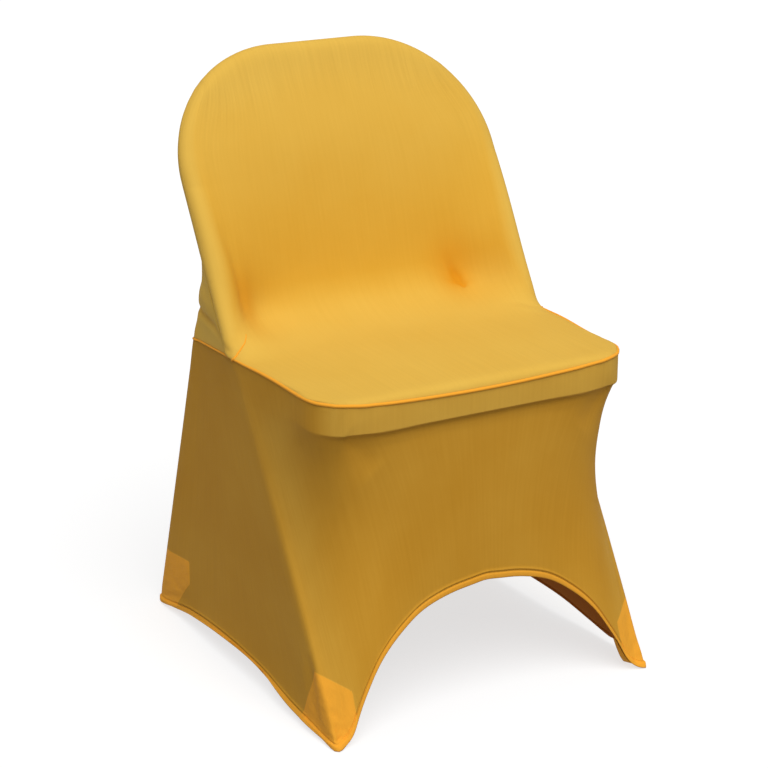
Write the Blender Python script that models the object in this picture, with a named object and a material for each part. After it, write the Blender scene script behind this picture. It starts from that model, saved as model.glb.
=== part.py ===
"""A fitted stretch cover for a folding chair: front panel, back panel, skirt and four foot pockets.

The cover is shaped on the floor, z = 0, over a chair that faces -Y, and is then hung from an empty so that the
world's origin is the point inside the top of the backrest, where the chair holds the cover up.
Half of it is laid out as grids over the chair's lines, mirrored, and the free cloth between those lines is drawn
tight. The whole surface is then cut along its seams into the panels, which get their thickness.
"""

import math

import bmesh
import bpy
from mathutils import Vector
from mathutils.bvhtree import BVHTree

CLOTH = 0.0015  # one layer of the stretched knit
HEM_CLOTH = 0.0026  # the hem's folded layers
HEM_WIDTH = 0.011
SEAM_GAP = 0.0004

BACK_RAKE = 0.58  # how far the back's frame leans back for each metre up
BACK_Y = -0.2315  # where that line would meet the floor
BACK_TOP = 0.827
BACK_BOTTOM = 0.645
TUBE_LOW = 0.456  # where the side tube passes the seat
BACK_HALF_WIDTH = 0.246
BACK_CORNER = 0.180
BACK_DIP = 0.006  # the front face sinks between the side tubes
BACK_BULGE = 0.014  # the chair's curved back pushes the rear face out
TUBE = 0.014  # radius of the frame's tube with the cloth on it
FACE_INSET = 0.024  # from the outline to where the flat face starts
BACK_SLOPE = math.hypot(1, BACK_RAKE)
REAR_GATHER = 0.93  # share of the rear face's width between the lines where the webs will start
REAR_INSET = 0.0065  # between the first rows in from the outline on the rear side
REAR_START = Vector((0.0, 0.150, 0.633))  # middle of the rear face's lower part
BULGE_ROWS = 6  # rows over which the rear face swells
FACE_EDGE = 0.033  # from the side tube's outline to the cloth's face between backrest and seat

SEAT_FRONT = -0.215
SEAT_HALF_WIDTH = 0.235
SEAT_CORNER = 0.058
SEAT_TOP = 0.4545
SEAT_CROWN = 0.004
SEAT_FACE_EDGE = 0.028
CROWN_FRONT = (0.09, 0.21)  # ahead of the origin, where the crown starts to fade and where it has gone
SIDE_FLARE = (-0.12, 0.03)  # where the seam starts to leave the seat's side for the tube, and has reached it
SEAM_FRONT_Z = 0.4390
SEAM_RISE_X = 0.2  # the seam rises towards the sides up to here
BAND_LOW_Z = 0.407  # lower edge of the shallow band round the seat's edge
BAND_SIDE_Z = 0.4235
PINCH = Vector((0.175, 0.122, 0.470))  # where the cloth is caught beside the seat's rear corner
PINCH_PLACE = (7, 6)  # its column, and its step below the backrest

HANGING_POINT = Vector((0.0, 0.2475, 0.8225))  # inside the top of the backrest

SEAM_SIDE = Vector((0.2430, 0.0405, 0.4475))  # where all three panels meet, beside the tube
REAR_EDGE_SEAM = Vector((0.229, 0.174, 0.441))
REAR_SEAM_MIDDLE = Vector((0.0, 0.186, 0.444))
REAR_EDGE_LEAN = 0.312
FOOT_FRONT = Vector((0.2455, -0.240, 0.0012))
FOOT_REAR = Vector((0.233, 0.303, 0.0012))
LEG_SPREAD = 0.29  # height over which the front leg moves out to its foot
LEG_LEAN = (0.238, 1.73)  # the leg comes forward by this much for each metre it is in from here

FACE = 9  # grid steps from the middle to the side roll
ROLL = 4  # grid steps round the roll to the seam
WEB = 5  # grid steps from the side seam to the rear edge
ACROSS = FACE + ROLL
BACK_STEPS = 8
DROP_STEPS = 8
SEAT_STEPS = 8
SKIRT_STEPS = 15
POCKET_COLUMNS = 6
POCKET_ROWS = 4
POCKET_CLEAR = 0.0037  # from the skirt's outer side, over the thick hem
POCKET_SOLE = (0.006, 0.016)  # how far the pocket's cloth reaches under the foot, at its ends and its middle
POCKET_LOW = 0.003
POCKET_SEARCH = 0.0005
POCKET_LIFT = 0.002  # above the lowest place where the skirt still shields it

FREE, SOFT, HELD = 0, 1, 2  # pulled tight, held until the last rounds, never moved
TIGHT_ROUNDS = 400
MOST_SHELL = 1.2  # a sharp fold's thickness grows by no more than this
SOFT_ROUNDS = 6

# how far in from the outline, and how far in front of the tube's line as a share of its radius
ROLL_PROFILE = (
    (0.0040, -0.90),
    (0.0000, -0.20),
    (0.0035, 0.50),
    (0.0110, 0.95),
)

# how far in from the seat's edge, and the share of the way up from the seam to the seat's top
SEAT_EDGE = (
    (0.0000, 0.00),
    (0.0012, 0.42),
    (0.0060, 0.76),
    (0.0160, 0.92),
)

# middle of the front panel between the backrest and the seat: y, z
DROP_LINE = (
    (0.1350, 0.6490),
    (0.1340, 0.6200),
    (0.1320, 0.590),
    (0.1300, 0.560),
    (0.1270, 0.530),
    (0.1210, 0.502),
    (0.1050, 0.479),
    (0.0720, 0.4645),
    (0.0240, 0.4585),
)

# shares of the way down the skirt, and then the rows above the hem's edge in metres
SKIRT_ROWS = (0.0, 0.042, 0.082, 0.10, 0.165, 0.24, 0.32, 0.41, 0.51, 0.62, 0.73, 0.83, 0.91)
HEM_ROWS = (HEM_WIDTH + 0.002, HEM_WIDTH)
RIDGE_END = 0.85  # share of the way down where the leg's line starts to run into the foot's tip
REAR_RIDGE_END = 0.90

# share of the way down the band round the seat's edge, and how far the cloth is tucked in there
BAND_ROWS = (
    (0.50, 0.0000),
    (1.00, 0.0010),
    (1.25, 0.0100),
)
BAND_TARGET_Y = -0.05  # the tuck goes towards this line

# the hem from the middle of the front to the tip of the front foot: x, y, z
FRONT_HEM = (
    (0.000, -0.217, 0.174),
    (0.055, -0.218, 0.167),
    (0.100, -0.220, 0.153),
    (0.136, -0.224, 0.129),
    (0.165, -0.229, 0.102),
    (0.190, -0.235, 0.066),
    (0.205, -0.240, 0.040),
    (0.218, -0.244, 0.015),
    (0.232, -0.245, 0.003),
    (0.2455, -0.240, 0.0012),
)

# the hem from the front foot's tip to the rear foot's: x, y, z
SIDE_HEM = (
    (0.2455, -0.240, 0.0012),
    (0.2510, -0.222, 0.002),
    (0.2520, -0.190, 0.003),
    (0.2500, -0.140, 0.012),
    (0.2465, -0.040, 0.0315),
    (0.2460, 0.050, 0.0340),
    (0.2430, 0.140, 0.0290),
    (0.2370, 0.240, 0.012),
    (0.2350, 0.285, 0.003),
    (0.2330, 0.303, 0.0012),
)

# the hem from the rear foot's tip to the middle of the rear: x, y, z
REAR_HEM = (
    (0.233, 0.303, 0.0012),
    (0.220, 0.304, 0.003),
    (0.207, 0.300, 0.015),
    (0.192, 0.290, 0.044),
    (0.165, 0.277, 0.092),
    (0.130, 0.266, 0.127),
    (0.090, 0.258, 0.150),
    (0.045, 0.253, 0.163),
    (0.000, 0.251, 0.168),
)

# foot, its tip, how far the pocket reaches along the cross face and the side face, and its height
POCKETS = (
    ("front", FOOT_FRONT, 0.042, 0.045, 0.090),
    ("rear", FOOT_REAR, 0.042, 0.065, 0.075),
)

COLOURS = {
    "front_panel": (0.72, 0.43, 0.072, 1.0),
    "back_panel": (0.70, 0.41, 0.066, 1.0),
    "skirt": (0.66, 0.37, 0.050, 1.0),
    "foot_pocket": (0.74, 0.36, 0.040, 1.0),
}
PANELS = ("front_panel", "back_panel", "skirt")


def clear_scene():
    for obj in list(bpy.data.objects):
        bpy.data.objects.remove(obj)


def blend(a, b, share):
    return a + (b - a) * share


def ease(share):
    share = min(max(share, 0.0), 1.0)
    return share * share * (3 - 2 * share)


def along(points, share):
    """The point at this share of the length of a smooth curve through the points."""
    points = [Vector(point) for point in points]
    lengths = [0.0]
    for before, after in zip(points, points[1:]):
        lengths.append(lengths[-1] + (after - before).length)
    place = min(max(share, 0.0), 1.0) * lengths[-1]
    span = next(i for i in range(len(points) - 1) if place <= lengths[i + 1] + 1e-9)
    width = lengths[span + 1] - lengths[span]
    t = (place - lengths[span]) / width

    def slope(i):
        low, high = max(i - 1, 0), min(i + 1, len(points) - 1)
        return (points[high] - points[low]) / (lengths[high] - lengths[low]) * width

    start, end = points[span], points[span + 1]
    return (
        start * (2 * t**3 - 3 * t**2 + 1)
        + slope(span) * (t**3 - 2 * t**2 + t)
        + end * (3 * t**2 - 2 * t**3)
        + slope(span + 1) * (t**3 - t**2)
    )


def on_back(x, up, out):
    """A point at height `up` on the back frame's line, moved `out` towards the front, square to the back."""
    return Vector((x, BACK_Y + BACK_RAKE * up - out / BACK_SLOPE, up + out * BACK_RAKE / BACK_SLOPE))


def round_corner(x, y, corner_x, corner_y, radius_x, radius_y):
    """Bends the square corner of a flat grid round, so that lines along its edge stay as far from it."""
    a, b = (x - corner_x) / radius_x, (y - corner_y) / radius_y
    if a <= 0 or b <= 0:
        return x, y
    turn = math.pi / 4 * b / a if a > b else math.pi / 2 - math.pi / 4 * a / b
    reach = max(a, b)
    return corner_x + radius_x * reach * math.cos(turn), corner_y + radius_y * reach * math.sin(turn)


def back_outline(x, up):
    """Distance from the middle and height on the backrest, with its top corner rounded."""
    radius_z = BACK_CORNER / BACK_SLOPE
    return round_corner(x, up, BACK_HALF_WIDTH - BACK_CORNER, BACK_TOP - radius_z, BACK_CORNER, radius_z)


def tube_half_width(up):
    """The cover narrows a little from the backrest to the place where the three panels meet."""
    share = ease((up - TUBE_LOW) / (BACK_BOTTOM - TUBE_LOW))
    return blend(SEAM_SIDE.x + ROLL_PROFILE[0][0], BACK_HALF_WIDTH, share)


def back_row_height(row):
    """Height of the rows below the top roll, down the face to the backrest's lower edge."""
    return blend(BACK_TOP - ROLL_PROFILE[-1][0], BACK_BOTTOM, (row - ROLL + 1) / (BACK_STEPS + 1))


def tube_height(row):
    """Height of the side tube's point for the rows between the backrest and the seat."""
    share = (row - ROLL - BACK_STEPS) / DROP_STEPS
    return blend(BACK_BOTTOM, TUBE_LOW, share)


def edge_inset(profile, steps, ring, face):
    """How far in a grid line is, that many steps from the edge, where it crosses a ring of the edge's profile.

    The lines fan out from the corner to `face`, where the profile ends.
    """
    return blend(profile[ring][0], face, (steps - ring) / (ROLL - ring))


def front_on_back(col, row):
    ring = min(ACROSS - col, row)
    x, up = (BACK_HALF_WIDTH - FACE_INSET) * col / FACE, back_row_height(row)
    if col > FACE:
        x = BACK_HALF_WIDTH - edge_inset(ROLL_PROFILE, ACROSS - col, ring, FACE_INSET)
    if row < ROLL:
        face = (BACK_TOP - back_row_height(ROLL)) * BACK_SLOPE
        up = BACK_TOP - edge_inset(ROLL_PROFILE, row, ring, face) / BACK_SLOPE
    x, up = back_outline(x, up)
    if ring < ROLL:
        return on_back(x, up, TUBE * ROLL_PROFILE[ring][1]), HELD
    out = TUBE - BACK_DIP * (1 - (x / BACK_HALF_WIDTH) ** 2)
    return on_back(x, up, out), SOFT if row < ROLL + BACK_STEPS - 2 else FREE


def front_in_drop(col, row):
    step = row - ROLL - BACK_STEPS
    up = tube_height(row)
    half = tube_half_width(up)
    if col > FACE:
        inset, out = ROLL_PROFILE[ACROSS - col]
        if step == DROP_STEPS and col == ACROSS:
            return SEAM_SIDE.copy(), HELD
        return on_back(half - inset, up, TUBE * out), HELD
    if (col, step) == PINCH_PLACE:
        return PINCH, HELD
    if col == FACE and step < DROP_STEPS:
        return on_back(half - 2 * TUBE, up, 0.0), FREE
    crease = step == PINCH_PLACE[1] and col < PINCH_PLACE[0] - 1
    y, z = DROP_LINE[step]
    return Vector(((half - FACE_EDGE) * col / FACE, y, z)), SOFT if crease or step == DROP_STEPS else FREE


def front_on_seat(col, row):
    step = row - ROLL - BACK_STEPS - DROP_STEPS
    from_side, from_front = ACROSS - col, SEAT_STEPS - step
    nearest = min(from_side, from_front)
    face_row = blend(DROP_LINE[-1][0], SEAT_FRONT, (SEAT_STEPS - ROLL) / SEAT_STEPS)
    x, y = (SEAT_HALF_WIDTH - SEAT_FACE_EDGE) * col / FACE, blend(DROP_LINE[-1][0], SEAT_FRONT, step / SEAT_STEPS)
    if from_side < ROLL:
        x = SEAT_HALF_WIDTH - edge_inset(SEAT_EDGE, from_side, nearest, SEAT_FACE_EDGE)
    if from_front < ROLL:
        y = SEAT_FRONT + edge_inset(SEAT_EDGE, from_front, nearest, face_row - SEAT_FRONT)
    start, end = SIDE_FLARE
    x += (SEAM_SIDE.x - SEAT_HALF_WIDTH) * ease((y - start) / (end - start)) * col / ACROSS
    corner_x, corner_y = SEAT_HALF_WIDTH - SEAT_CORNER, -SEAT_FRONT - SEAT_CORNER
    x, ahead = round_corner(x, -y, corner_x, corner_y, SEAT_CORNER, SEAT_CORNER)
    if nearest < ROLL:
        seam = blend(SEAM_FRONT_Z, SEAM_SIDE.z, min((x / SEAM_RISE_X) ** 2, 1.0))
        return Vector((x, -ahead, blend(seam, SEAT_TOP, SEAT_EDGE[nearest][1]))), HELD
    start, end = CROWN_FRONT
    crown = SEAT_CROWN * (1 - (x / SEAT_HALF_WIDTH) ** 2) * (1 - ease((ahead - start) / (end - start)))
    return Vector((x, -ahead, SEAT_TOP + crown)), SOFT


def front_panel(col, row):
    if row <= ROLL + BACK_STEPS:
        return front_on_back(col, row)
    if row <= ROLL + BACK_STEPS + DROP_STEPS:
        return front_in_drop(col, row)
    return front_on_seat(col, row)


def rear_edge(z):
    return Vector((REAR_EDGE_SEAM.x, REAR_EDGE_SEAM.y + REAR_EDGE_LEAN * (REAR_EDGE_SEAM.z - z), z))


def back_panel(col, row):
    last = ROLL + BACK_STEPS + DROP_STEPS
    if col == ACROSS or row == 0:
        return front_panel(col, row)[0], HELD
    if row < ROLL + BACK_STEPS:
        return rear_of_back(col, row)
    edge_col, share = ACROSS - WEB, (row - ROLL - BACK_STEPS) / DROP_STEPS
    corner = rear_edge(blend(REAR_START.z, REAR_EDGE_SEAM.z, share))
    corner.y = max(corner.y, on_back(corner.x, corner.z, -TUBE).y)
    if col > edge_col:
        point = blend(corner, front_panel(ACROSS, row)[0], (col - edge_col) / WEB)
    else:
        across = col / edge_col
        middle_y = blend(REAR_START.y, REAR_SEAM_MIDDLE.y, share)
        point = Vector((corner.x * across, blend(middle_y, corner.y, across), corner.z))
        if row == last:
            point.z = blend(REAR_SEAM_MIDDLE.z, corner.z, across * across)
    return point, HELD if row == last or col == edge_col else FREE


def rear_of_back(col, row):
    first = ROLL_PROFILE[0][0] + REAR_INSET
    up = BACK_TOP - first - REAR_INSET * (row - 1) if row < ROLL else back_row_height(row)
    edge_col = ACROSS - WEB
    gathered = REAR_GATHER * col / edge_col
    if col > edge_col:
        gathered = blend(REAR_GATHER, 1.0, (col - edge_col) / (WEB - 1))
    across = blend(col / (ACROSS - 1), gathered, ease((row - 1) / (BACK_STEPS + 1)))
    x, up = back_outline((BACK_HALF_WIDTH - first) * across, up)
    middle = 1 - (x / BACK_HALF_WIDTH) ** 2
    point = on_back(x, up, -TUBE - BACK_BULGE * middle * ease(row / BULGE_ROWS))
    on_face = row < ROLL + BACK_STEPS - 4
    if row == 1 or (on_face and col == ACROSS - 1) or (not on_face and col == edge_col):
        return point, HELD
    return point, SOFT if on_face else FREE


def seam_ring(step):
    """The level seam's points from the middle of the front, round the side, to the middle of the rear."""
    if step <= ACROSS:
        return front_panel(step, ROLL + BACK_STEPS + DROP_STEPS + SEAT_STEPS)[0]
    if step <= ACROSS + SEAT_STEPS:
        return front_panel(ACROSS, ROLL + BACK_STEPS + DROP_STEPS + SEAT_STEPS + ACROSS - step)[0]
    return back_panel(2 * ACROSS + SEAT_STEPS - step, ROLL + BACK_STEPS + DROP_STEPS)[0]


def hem_ring(step):
    ridge = ACROSS + SEAT_STEPS
    if step <= ridge:
        return along(FRONT_HEM, step / ridge)
    if step <= ridge + WEB:
        return along(SIDE_HEM, (step - ridge) / WEB)
    return along(REAR_HEM, (step - ridge - WEB) / (ACROSS - WEB))


def leg_ridge(z):
    """Outer edge of the front leg under the cloth."""
    widest, lean = LEG_LEAN
    x = blend(SEAM_SIDE.x, FOOT_FRONT.x, ease((SEAM_SIDE.z - z) / LEG_SPREAD))
    return Vector((x, BACK_Y + BACK_RAKE * z + lean * (widest - x), z))


def skirt(col, row):
    ridge, edge = ACROSS + SEAT_STEPS, ACROSS + SEAT_STEPS + WEB
    top, low = seam_ring(col), hem_ring(col)
    if row in (0, SKIRT_STEPS):
        return low if row else top, HELD
    if row < len(SKIRT_ROWS):
        share = SKIRT_ROWS[row]
    else:
        share = 1 - HEM_ROWS[row - len(SKIRT_ROWS)] / (top - low).length
    if col == ridge:
        point = leg_ridge(top.z * (1 - share))
        return blend(point, low, ease((share - RIDGE_END) / (1 - RIDGE_END))), HELD
    if col == edge:
        point = rear_edge(top.z * (1 - share))
        point.x = blend(top.x, low.x, share)
        return blend(point, low, ease((share - REAR_RIDGE_END) / (1 - REAR_RIDGE_END))), HELD
    if col < ridge - 2 and row <= len(BAND_ROWS):
        down, tuck = BAND_ROWS[row - 1]
        band_low = blend(BAND_LOW_Z, BAND_SIDE_Z, ease((col - ACROSS) / SEAT_STEPS))
        inward = Vector((-top.x if col > FACE + 1 else 0.0, BAND_TARGET_Y - top.y, 0.0)).normalized()
        point = top + inward * tuck
        point.z = blend(top.z, band_low, down)
        return point, HELD
    return blend(top, low, share), FREE


def add_grid(shape, columns, rows, place, panel):
    """Half of one panel as a grid, each vertex set by its column from the middle and its row from the top."""
    hold, hem = shape.verts.layers.int["hold"], shape.verts.layers.int["hem"]
    made = bmesh.ops.create_grid(shape, x_segments=columns, y_segments=rows, size=0.5)["verts"]
    for vert in made:
        col = round((vert.co.x + 0.5) * columns)
        row = round((0.5 - vert.co.y) * rows)
        vert.co, vert[hold] = place(col, row)
        vert[hem] = col * (SKIRT_STEPS + 1) + row if panel == PANELS.index("skirt") else 0
    for face in {face for vert in made for face in vert.link_faces}:
        face.material_index = panel


def mirror_half(shape):
    bmesh.ops.remove_doubles(shape, verts=shape.verts, dist=0.00005)
    for vert in shape.verts:
        if abs(vert.co.x) < 0.0001:
            vert.co.x = 0.0
    geom = shape.verts[:] + shape.edges[:] + shape.faces[:]
    bmesh.ops.mirror(shape, geom=geom, axis="X", merge_dist=0.00005)
    bmesh.ops.recalc_face_normals(shape, faces=shape.faces)


def draw_tight(shape, most_held, rounds):
    """Pulls the cloth taut between the lines that hold it."""
    hold = shape.verts.layers.int["hold"]
    pulled = [vert for vert in shape.verts if vert[hold] <= most_held]
    for _ in range(rounds):
        bmesh.ops.smooth_vert(
            shape, verts=pulled, factor=0.5, use_axis_x=True, use_axis_y=True, use_axis_z=True
        )


def set_hem_width(shape):
    """Sets the hem's rows at its width again, after the pull has spread them."""
    hem = shape.verts.layers.int["hem"]
    lines = {(vert[hem], vert.co.x >= 0): vert for vert in shape.verts if vert[hem]}
    for (place, side), vert in lines.items():
        col, row = divmod(place, SKIRT_STEPS + 1)
        if len(SKIRT_ROWS) <= row < SKIRT_STEPS:
            edge, above = (lines[place + move, side].co for move in (SKIRT_STEPS - row, len(SKIRT_ROWS) - 1 - row))
            vert.co = edge + (above - edge).normalized() * HEM_ROWS[row - len(SKIRT_ROWS)]


def cover_surface():
    shape = bmesh.new()
    for layer in ("hold", "hem"):
        shape.verts.layers.int.new(layer)
    last = ROLL + BACK_STEPS + DROP_STEPS
    add_grid(shape, ACROSS, last + SEAT_STEPS, front_panel, 0)
    add_grid(shape, ACROSS, last, back_panel, 1)
    add_grid(shape, 2 * ACROSS + SEAT_STEPS, SKIRT_STEPS, skirt, 2)
    mirror_half(shape)
    draw_tight(shape, FREE, TIGHT_ROUNDS)
    draw_tight(shape, SOFT, SOFT_ROUNDS)
    set_hem_width(shape)
    mark_thickness(shape)
    return shape


def mark_thickness(shape):
    """Stores the way inwards through the cloth at each vertex, so that panels that meet share it at their seam."""
    shape.normal_update()
    hem = shape.verts.layers.int["hem"]
    inwards = shape.verts.layers.float_vector.new("inwards")
    for vert in shape.verts:
        thickness = HEM_CLOTH if vert[hem] % (SKIRT_STEPS + 1) >= SKIRT_STEPS - 1 else CLOTH
        vert[inwards] = -vert.normal * thickness * min(vert.calc_shell_factor(), MOST_SHELL)


def thicken(shape):
    """Turns the open sheet into a closed one, its inner side one thickness in."""
    inwards = shape.verts.layers.float_vector["inwards"]
    made = bmesh.ops.extrude_face_region(shape, geom=shape.faces[:], use_keep_orig=True)["geom"]
    for vert in made:
        if isinstance(vert, bmesh.types.BMVert):
            vert.co += vert[inwards]
    bmesh.ops.recalc_face_normals(shape, faces=shape.faces)


def cut_panel(surface, panel):
    """A copy of one panel's faces, its seam edges drawn back by half the gap."""
    piece = surface.copy()
    others = [face for face in piece.faces if face.material_index != panel]
    bmesh.ops.delete(piece, geom=others, context="FACES")
    moves = {}
    for vert in piece.verts:
        inner = [near.co for face in vert.link_faces for near in face.verts if not near.is_boundary]
        if vert.is_boundary and inner:
            towards = sum(inner, Vector()) / len(inner) - vert.co
            moves[vert] = towards.normalized() * SEAM_GAP / 2
    for vert, move in moves.items():
        vert.co += move
    return piece


def pocket_point(skirt_tree, centre, direction, height):
    """A point against the inside of the skirt, clear of its cloth, on the ray from the pocket's centre."""
    start = Vector((centre.x, centre.y, height))
    met = skirt_tree.ray_cast(start, direction)[0]
    if met is None:
        return None
    point = met.copy()
    while skirt_tree.find_nearest(point)[3] < POCKET_CLEAR:
        point -= direction * SEAM_GAP / 2
    return point


def pocket_grid(skirt_tree, foot, tip, cross_reach, side_reach, height, side):
    """The second layer of cloth inside one foot, from its sole up, on rays round the foot's corner."""
    towards = -1 if foot == "front" else 1
    centre = Vector((side * (tip.x - cross_reach), tip.y - towards * side_reach, 0.0))
    grid = bmesh.new()
    made = bmesh.ops.create_grid(grid, x_segments=POCKET_COLUMNS, y_segments=POCKET_ROWS + 1, size=0.5)["verts"]
    for vert in made:
        turn = (vert.co.x + 0.5) * math.pi / 2
        row = round((vert.co.y + 0.5) * (POCKET_ROWS + 1))
        direction = Vector((side * math.cos(turn) * cross_reach, towards * math.sin(turn) * side_reach, 0.0))
        direction.normalize()
        low = POCKET_LOW
        while pocket_point(skirt_tree, centre, direction, low) is None:
            low += POCKET_SEARCH
        share = max(row - 1, 0) / POCKET_ROWS
        vert.co = pocket_point(skirt_tree, centre, direction, blend(low + POCKET_LIFT, height, share))
        if row == 0:
            vert.co -= direction * blend(*POCKET_SOLE, math.sin(2 * turn))
    grid.normal_update()
    outward = sum(face.normal.dot(face.calc_center_median() - centre) for face in grid.faces)
    if outward < 0:
        bmesh.ops.reverse_faces(grid, faces=grid.faces)
    grid.verts.layers.int.new("hem")
    mark_thickness(grid)
    return grid


def cloth_material(name, colour):
    material = bpy.data.materials.new(name)
    material.use_nodes = True
    shader = material.node_tree.nodes["Principled BSDF"]
    shader.inputs["Base Color"].default_value = colour
    shader.inputs["Roughness"].default_value = 0.75
    shader.inputs["Metallic"].default_value = 0.0
    material.diffuse_color = colour
    return material


def add_object(name, shape, material, collection, parent):
    thicken(shape)
    for face in shape.faces:
        face.material_index = 0
        face.smooth = True
    mesh = bpy.data.meshes.new(name)
    shape.to_mesh(mesh)
    shape.free()
    mesh.materials.append(material)
    obj = bpy.data.objects.new(name, mesh)
    collection.objects.link(obj)
    obj.parent = parent
    return obj


def main():
    clear_scene()
    collection = bpy.data.collections.new("folding_chair_cover")
    bpy.context.scene.collection.children.link(collection)
    hanging = bpy.data.objects.new("hanging_point", None)
    hanging.location = -HANGING_POINT
    collection.objects.link(hanging)
    surface = cover_surface()
    for index, name in enumerate(PANELS):
        material = cloth_material(name, COLOURS[name])
        add_object(name, cut_panel(surface, index), material, collection, hanging)
    skirt_tree = BVHTree.FromBMesh(cut_panel(surface, PANELS.index("skirt")))
    material = cloth_material("foot_pocket", COLOURS["foot_pocket"])
    for foot, *sizes in POCKETS:
        for side, side_name in ((-1, "left"), (1, "right")):
            grid = pocket_grid(skirt_tree, foot, *sizes, side)
            name = f"foot_pocket_{foot}_{side_name}"
            add_object(name, grid, material, collection, hanging)
    surface.free()


main()
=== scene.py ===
import math

import bmesh
import bpy
import numpy as np
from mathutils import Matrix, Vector
from mathutils.bvhtree import BVHTree
from mathutils.kdtree import KDTree


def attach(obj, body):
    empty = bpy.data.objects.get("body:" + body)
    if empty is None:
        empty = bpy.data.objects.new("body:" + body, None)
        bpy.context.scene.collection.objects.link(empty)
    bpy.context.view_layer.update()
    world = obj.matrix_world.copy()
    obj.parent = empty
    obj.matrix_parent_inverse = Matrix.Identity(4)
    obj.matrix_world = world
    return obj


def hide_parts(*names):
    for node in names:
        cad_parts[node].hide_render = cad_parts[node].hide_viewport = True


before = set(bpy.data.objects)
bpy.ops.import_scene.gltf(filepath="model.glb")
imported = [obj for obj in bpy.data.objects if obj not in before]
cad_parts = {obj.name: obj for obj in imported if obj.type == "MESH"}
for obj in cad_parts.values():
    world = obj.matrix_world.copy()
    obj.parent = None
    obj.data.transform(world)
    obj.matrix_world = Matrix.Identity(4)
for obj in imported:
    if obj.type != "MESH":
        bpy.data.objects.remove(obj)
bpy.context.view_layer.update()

# The lines that the cloth is pulled over, in metres, on the floor z = 0, with the front towards -Y.
# Grid columns run from the middle outwards, rows from the top down.

backrest = {
    "rake": 0.58, "startY": -0.2315, "top": 0.8225, "bottom": 0.645, "tubeLow": 0.456,
    "halfWidth": 0.246, "corner": 0.180, "dip": 0.006, "tube": 0.014,
    "faceInset": 0.024, "faceEdge": 0.033,
    "bulge": 0.014, "bulgeRows": 6, "rearInset": 0.0065, "rearGather": 0.93, "rearStart": (0.150, 0.633),
    # how far in from the outline, and how far in front of the roll's middle as a share of its radius
    "profile": ((0.0040, -0.90), (0.0000, -0.20), (0.0035, 0.50), (0.0110, 0.95)),
    "dropLine": ((0.1350, 0.6490), (0.1340, 0.6200), (0.1320, 0.5900), (0.1300, 0.5600), (0.1270, 0.5300),
                 (0.1210, 0.5020), (0.1050, 0.4790), (0.0720, 0.4645), (0.0240, 0.4585)),
    "pinch": (0.175, 0.122, 0.470), "pinchPlace": (7, 6),
    "frontHoldEnd": 2, "rearHoldEnd": 4,  # rows above the crease where each face starts to be pulled tight
}
seat = {
    "front": -0.215, "halfWidth": 0.235, "corner": 0.058, "top": 0.4545, "crown": 0.004,
    "crownFront": (0.09, 0.21), "faceEdge": 0.028, "flare": (-0.12, 0.03), "seamZ": 0.4390, "seamRiseX": 0.2,
    "sideSeamZ": 0.4475, "sideRise": (-0.14, -0.03),
    # how far in from the edge, and the share of the way up from the seam to the top
    "edge": ((0.0000, 0.00), (0.0012, 0.42), (0.0060, 0.76), (0.0160, 0.92)),
}
skirtLines = {
    "seamSide": (0.2430, 0.0405, 0.4520), "rearSeam": (0.229, 0.174, 0.441), "rearMiddle": (0.186, 0.444),
    "rearLean": 0.312, "footX": 0.2455, "legSpread": 0.29, "legLean": (0.238, 1.73),
    "rows": (0.0, 0.042, 0.082, 0.10, 0.165, 0.24, 0.32, 0.41, 0.51, 0.62, 0.73, 0.83, 0.91, 0.95, 0.975,
             1.0),
    "ridgeEnd": 0.85, "rearRidgeEnd": 0.90,
    "band": ((0.50, 0.0000), (1.00, 0.0004), (1.12, 0.0080)), "bandLow": (0.407, 0.4235), "tuckY": -0.05,
    "bandFade": (12.2, 14.4), "bandCols": 17,
    "hem": ((0.000, -0.217, 0.174), (0.055, -0.218, 0.167), (0.100, -0.220, 0.153), (0.136, -0.224, 0.129),
            (0.165, -0.229, 0.102), (0.190, -0.235, 0.066), (0.205, -0.240, 0.040), (0.218, -0.244, 0.015),
            (0.232, -0.245, 0.003), (0.2455, -0.240, 0.0012)),
    "sideHem": ((0.2455, -0.240, 0.0012), (0.2510, -0.222, 0.002), (0.2520, -0.190, 0.003),
                (0.2500, -0.140, 0.012), (0.2465, -0.040, 0.0315), (0.2460, 0.050, 0.0340),
                (0.2430, 0.140, 0.0290), (0.2370, 0.240, 0.012), (0.2350, 0.285, 0.003),
                (0.2330, 0.303, 0.0012)),
    "rearHem": ((0.233, 0.303, 0.0012), (0.220, 0.304, 0.003), (0.207, 0.300, 0.015), (0.192, 0.290, 0.044),
                (0.165, 0.277, 0.092), (0.130, 0.266, 0.127), (0.090, 0.258, 0.150), (0.045, 0.253, 0.163),
                (0.000, 0.251, 0.168)),
}
grid = {"face": 9, "roll": 4, "web": 5, "back": 8, "drop": 8, "seat": 8, "skirt": 15}
across = grid["face"] + grid["roll"]
crease = grid["roll"] + grid["back"]
lastDrop = crease + grid["drop"]
lastSeat = lastDrop + grid["seat"]
ridgeCol = across + grid["seat"]
edgeCol = ridgeCol + grid["web"]
ringCols = 2 * across + grid["seat"]
rearEdgeCol = across - grid["web"]
free, soft, held = 0, 1, 2  # pulled tight, held until the last rounds, never moved
cloth = {
    "hanging": Vector((0.0, 0.2475, 0.8225)),  # the world's origin, inside the top of the backrest
    "thickness": 0.0015, "tightRounds": 400, "softRounds": 6, "weld": 0.00005, "onMiddle": 0.0001,
}
slope = math.hypot(1, backrest["rake"])


def blend(a, b, share):
    return a + (b - a) * share


def ease(share):
    share = min(max(share, 0.0), 1.0)
    return share * share * (3 - 2 * share)


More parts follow.
